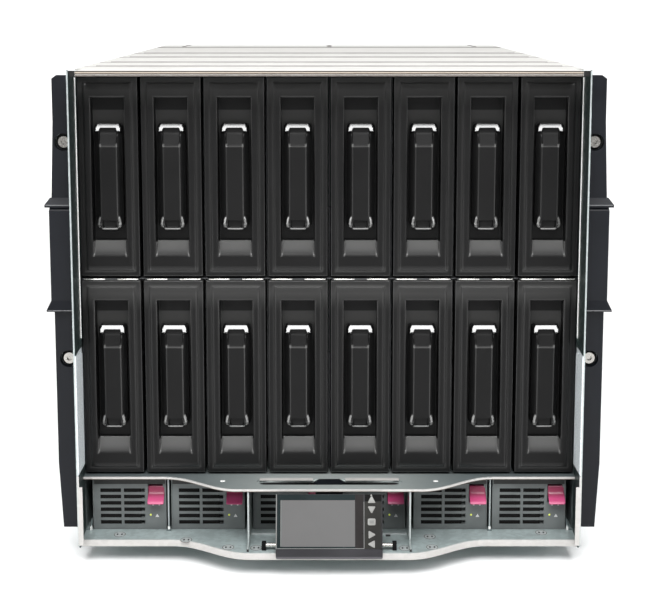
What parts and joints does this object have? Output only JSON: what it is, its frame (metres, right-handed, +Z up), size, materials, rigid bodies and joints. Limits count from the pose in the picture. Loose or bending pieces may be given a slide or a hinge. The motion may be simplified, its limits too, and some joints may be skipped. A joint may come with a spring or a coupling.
{
  "type": "blade server chassis",
  "caption": "Rack chassis for blade servers, with filler blanks in two rows of bays, a tilting status display, pull-out power supplies, rack ears, and fans and module bays at the rear.",
  "frame": {"origin": "middle of the footprint's bounding box, on the surface the chassis stands on", "axes": "+X to the right seen from the front, +Y from the blades to the rear, +Z up"},
  "size_m": [0.4998, 0.8562, 0.442],
  "materials": {
    "shell": "galvanised sheet, satin",
    "cover": "bright zinc sheet, satin",
    "frame": "zinc sheet, satin",
    "shelf": "galvanised sheet, satin",
    "bezel": "moulded, fine grain",
    "nickel": "nickel plated",
    "board": "glass-fibre board with solder mask",
    "module_case": "moulded, matte",
    "module_face": "zinc sheet, satin",
    "inlet": "moulded, matte",
    "rotor": "moulded, matte",
    "supply": "dark grey powder coat",
    "latch": "moulded, satin magenta",
    "blank": "moulded, fine satin grain",
    "housing": "moulded, satin",
    "screen": "polarised cover, switched off",
    "key": "moulded, satin"
  },
  "bodies": {
    "chassis": {"chassis_shell": "shell", "top_cover": "cover", "bay_frame": "frame", "blade_shelf": "shelf", "psu_floor": "shelf", "psu_dividers": "shelf", "ear_bezels": "bezel", "rack_screws": "nickel", "display_rod": "nickel", "signal_board": "board", "fan_modules": "module_case", "interconnect_blanks": "module_face", "administrator_modules": "module_face", "power_inlet_panel": "inlet"},
    "upper_blank_1": {"upper_blank_1": "blank"},
    "upper_blank_2": {"upper_blank_2": "blank"},
    "upper_blank_3": {"upper_blank_3": "blank"},
    "upper_blank_4": {"upper_blank_4": "blank"},
    "upper_blank_5": {"upper_blank_5": "blank"},
    "upper_blank_6": {"upper_blank_6": "blank"},
    "upper_blank_7": {"upper_blank_7": "blank"},
    "upper_blank_8": {"upper_blank_8": "blank"},
    "lower_blank_1": {"lower_blank_1": "blank"},
    "lower_blank_2": {"lower_blank_2": "blank"},
    "lower_blank_3": {"lower_blank_3": "blank"},
    "lower_blank_4": {"lower_blank_4": "blank"},
    "lower_blank_5": {"lower_blank_5": "blank"},
    "lower_blank_6": {"lower_blank_6": "blank"},
    "lower_blank_7": {"lower_blank_7": "blank"},
    "lower_blank_8": {"lower_blank_8": "blank"},
    "psu_1": {"psu_1": "supply"},
    "psu_latch_1": {"psu_latch_1": "latch"},
    "psu_2": {"psu_2": "supply"},
    "psu_latch_2": {"psu_latch_2": "latch"},
    "psu_3": {"psu_3": "supply"},
    "psu_latch_3": {"psu_latch_3": "latch"},
    "psu_4": {"psu_4": "supply"},
    "psu_latch_4": {"psu_latch_4": "latch"},
    "psu_5": {"psu_5": "supply"},
    "psu_latch_5": {"psu_latch_5": "latch"},
    "psu_6": {"psu_6": "supply"},
    "psu_latch_6": {"psu_latch_6": "latch"},
    "fan_rotor_1": {"fan_rotor_1": "rotor"},
    "fan_rotor_2": {"fan_rotor_2": "rotor"},
    "fan_rotor_3": {"fan_rotor_3": "rotor"},
    "fan_rotor_4": {"fan_rotor_4": "rotor"},
    "fan_rotor_5": {"fan_rotor_5": "rotor"},
    "fan_rotor_6": {"fan_rotor_6": "rotor"},
    "fan_rotor_7": {"fan_rotor_7": "rotor"},
    "fan_rotor_8": {"fan_rotor_8": "rotor"},
    "fan_rotor_9": {"fan_rotor_9": "rotor"},
    "fan_rotor_10": {"fan_rotor_10": "rotor"},
    "display_slider": {"display_slider": "bezel"},
    "display": {"display_housing": "housing", "display_screen": "screen"},
    "key_up": {"key_up": "key"},
    "key_down": {"key_down": "key"},
    "key_ok": {"key_ok": "key"},
    "key_right": {"key_right": "key"},
    "key_left": {"key_left": "key"}
  },
  "joints": [
    {"name": "upper_blank_1_slide", "type": "slide", "parent": "chassis", "child": "upper_blank_1", "axis": [0, -1, 0], "range_m": [0, 0.24]},
    {"name": "upper_blank_2_slide", "type": "slide", "parent": "chassis", "child": "upper_blank_2", "axis": [0, -1, 0], "range_m": [0, 0.24]},
    {"name": "upper_blank_3_slide", "type": "slide", "parent": "chassis", "child": "upper_blank_3", "axis": [0, -1, 0], "range_m": [0, 0.24]},
    {"name": "upper_blank_4_slide", "type": "slide", "parent": "chassis", "child": "upper_blank_4", "axis": [0, -1, 0], "range_m": [0, 0.24]},
    {"name": "upper_blank_5_slide", "type": "slide", "parent": "chassis", "child": "upper_blank_5", "axis": [0, -1, 0], "range_m": [0, 0.24]},
    {"name": "upper_blank_6_slide", "type": "slide", "parent": "chassis", "child": "upper_blank_6", "axis": [0, -1, 0], "range_m": [0, 0.24]},
    {"name": "upper_blank_7_slide", "type": "slide", "parent": "chassis", "child": "upper_blank_7", "axis": [0, -1, 0], "range_m": [0, 0.24]},
    {"name": "upper_blank_8_slide", "type": "slide", "parent": "chassis", "child": "upper_blank_8", "axis": [0, -1, 0], "range_m": [0, 0.24]},
    {"name": "lower_blank_1_slide", "type": "slide", "parent": "chassis", "child": "lower_blank_1", "axis": [0, -1, 0], "range_m": [0, 0.24]},
    {"name": "lower_blank_2_slide", "type": "slide", "parent": "chassis", "child": "lower_blank_2", "axis": [0, -1, 0], "range_m": [0, 0.24]},
    {"name": "lower_blank_3_slide", "type": "slide", "parent": "chassis", "child": "lower_blank_3", "axis": [0, -1, 0], "range_m": [0, 0.24]},
    {"name": "lower_blank_4_slide", "type": "slide", "parent": "chassis", "child": "lower_blank_4", "axis": [0, -1, 0], "range_m": [0, 0.24]},
    {"name": "lower_blank_5_slide", "type": "slide", "parent": "chassis", "child": "lower_blank_5", "axis": [0, -1, 0], "range_m": [0, 0.24]},
    {"name": "lower_blank_6_slide", "type": "slide", "parent": "chassis", "child": "lower_blank_6", "axis": [0, -1, 0], "range_m": [0, 0.24]},
    {"name": "lower_blank_7_slide", "type": "slide", "parent": "chassis", "child": "lower_blank_7", "axis": [0, -1, 0], "range_m": [0, 0.24]},
    {"name": "lower_blank_8_slide", "type": "slide", "parent": "chassis", "child": "lower_blank_8", "axis": [0, -1, 0], "range_m": [0, 0.24]},
    {"name": "psu_1_slide", "type": "slide", "parent": "chassis", "child": "psu_1", "axis": [0, -1, 0], "range_m": [0, 0.28]},
    {"name": "psu_latch_1_pivot", "type": "hinge", "parent": "psu_1", "child": "psu_latch_1", "pos_m": [-0.1595, -0.35587, 0.0618], "axis": [1, 0, 0], "range_deg": [0, 12], "stiffness_Nm_per_rad": 0.02},
    {"name": "psu_2_slide", "type": "slide", "parent": "chassis", "child": "psu_2", "axis": [0, -1, 0], "range_m": [0, 0.28]},
    {"name": "psu_latch_2_pivot", "type": "hinge", "parent": "psu_2", "child": "psu_latch_2", "pos_m": [-0.0879, -0.35587, 0.0618], "axis": [1, 0, 0], "range_deg": [0, 12], "stiffness_Nm_per_rad": 0.02},
    {"name": "psu_3_slide", "type": "slide", "parent": "chassis", "child": "psu_3", "axis": [0, -1, 0], "range_m": [0, 0.012]},
    {"name": "psu_latch_3_pivot", "type": "hinge", "parent": "psu_3", "child": "psu_latch_3", "pos_m": [-0.0133, -0.35587, 0.0618], "axis": [1, 0, 0], "range_deg": [0, 12], "stiffness_Nm_per_rad": 0.02},
    {"name": "psu_4_slide", "type": "slide", "parent": "chassis", "child": "psu_4", "axis": [0, -1, 0], "range_m": [0, 0.012]},
    {"name": "psu_latch_4_pivot", "type": "hinge", "parent": "psu_4", "child": "psu_latch_4", "pos_m": [0.0587, -0.35587, 0.0618], "axis": [1, 0, 0], "range_deg": [0, 12], "stiffness_Nm_per_rad": 0.02},
    {"name": "psu_5_slide", "type": "slide", "parent": "chassis", "child": "psu_5", "axis": [0, -1, 0], "range_m": [0, 0.28]},
    {"name": "psu_latch_5_pivot", "type": "hinge", "parent": "psu_5", "child": "psu_latch_5", "pos_m": [0.1333, -0.35587, 0.0618], "axis": [1, 0, 0], "range_deg": [0, 12], "stiffness_Nm_per_rad": 0.02},
    {"name": "psu_6_slide", "type": "slide", "parent": "chassis", "child": "psu_6", "axis": [0, -1, 0], "range_m": [0, 0.28]},
    {"name": "psu_latch_6_pivot", "type": "hinge", "parent": "psu_6", "child": "psu_latch_6", "pos_m": [0.2049, -0.35587, 0.0618], "axis": [1, 0, 0], "range_deg": [0, 12], "stiffness_Nm_per_rad": 0.02},
    {"name": "fan_rotor_1_spin", "type": "hinge", "parent": "chassis", "child": "fan_rotor_1", "pos_m": [-0.17792, 0.35013, 0.3906], "axis": [0, 1, 0], "continuous": true},
    {"name": "fan_rotor_2_spin", "type": "hinge", "parent": "chassis", "child": "fan_rotor_2", "pos_m": [-0.08896, 0.35013, 0.3906], "axis": [0, 1, 0], "continuous": true},
    {"name": "fan_rotor_3_spin", "type": "hinge", "parent": "chassis", "child": "fan_rotor_3", "pos_m": [0, 0.35013, 0.3906], "axis": [0, 1, 0], "continuous": true},
    {"name": "fan_rotor_4_spin", "type": "hinge", "parent": "chassis", "child": "fan_rotor_4", "pos_m": [0.08896, 0.35013, 0.3906], "axis": [0, 1, 0], "continuous": true},
    {"name": "fan_rotor_5_spin", "type": "hinge", "parent": "chassis", "child": "fan_rotor_5", "pos_m": [0.17792, 0.35013, 0.3906], "axis": [0, 1, 0], "continuous": true},
    {"name": "fan_rotor_6_spin", "type": "hinge", "parent": "chassis", "child": "fan_rotor_6", "pos_m": [-0.17792, 0.35013, 0.1074], "axis": [0, 1, 0], "continuous": true},
    {"name": "fan_rotor_7_spin", "type": "hinge", "parent": "chassis", "child": "fan_rotor_7", "pos_m": [-0.08896, 0.35013, 0.1074], "axis": [0, 1, 0], "continuous": true},
    {"name": "fan_rotor_8_spin", "type": "hinge", "parent": "chassis", "child": "fan_rotor_8", "pos_m": [0, 0.35013, 0.1074], "axis": [0, 1, 0], "continuous": true},
    {"name": "fan_rotor_9_spin", "type": "hinge", "parent": "chassis", "child": "fan_rotor_9", "pos_m": [0.08896, 0.35013, 0.1074], "axis": [0, 1, 0], "continuous": true},
    {"name": "fan_rotor_10_spin", "type": "hinge", "parent": "chassis", "child": "fan_rotor_10", "pos_m": [0.17792, 0.35013, 0.1074], "axis": [0, 1, 0], "continuous": true},
    {"name": "display_slide", "type": "slide", "parent": "chassis", "child": "display_slider", "axis": [1, 0, 0], "range_m": [-0.022, 0.022]},
    {"name": "display_tilt", "type": "hinge", "parent": "display_slider", "child": "display", "pos_m": [0, -0.40757, 0.0666], "axis": [-1, 0, 0], "range_deg": [0, 75]},
    {"name": "key_up_press", "type": "slide", "parent": "display", "child": "key_up", "axis": [0, 0.9489, -0.3156], "range_m": [0, 0.0006], "stiffness_N_per_m": 200},
    {"name": "key_down_press", "type": "slide", "parent": "display", "child": "key_down", "axis": [0, 0.9489, -0.3156], "range_m": [0, 0.0006], "stiffness_N_per_m": 200},
    {"name": "key_ok_press", "type": "slide", "parent": "display", "child": "key_ok", "axis": [0, 0.9489, -0.3156], "range_m": [0, 0.0006], "stiffness_N_per_m": 200},
    {"name": "key_right_press", "type": "slide", "parent": "display", "child": "key_right", "axis": [0, 0.9489, -0.3156], "range_m": [0, 0.0006], "stiffness_N_per_m": 200},
    {"name": "key_left_press", "type": "slide", "parent": "display", "child": "key_left", "axis": [0, 0.9489, -0.3156], "range_m": [0, 0.0006], "stiffness_N_per_m": 200}
  ]
}
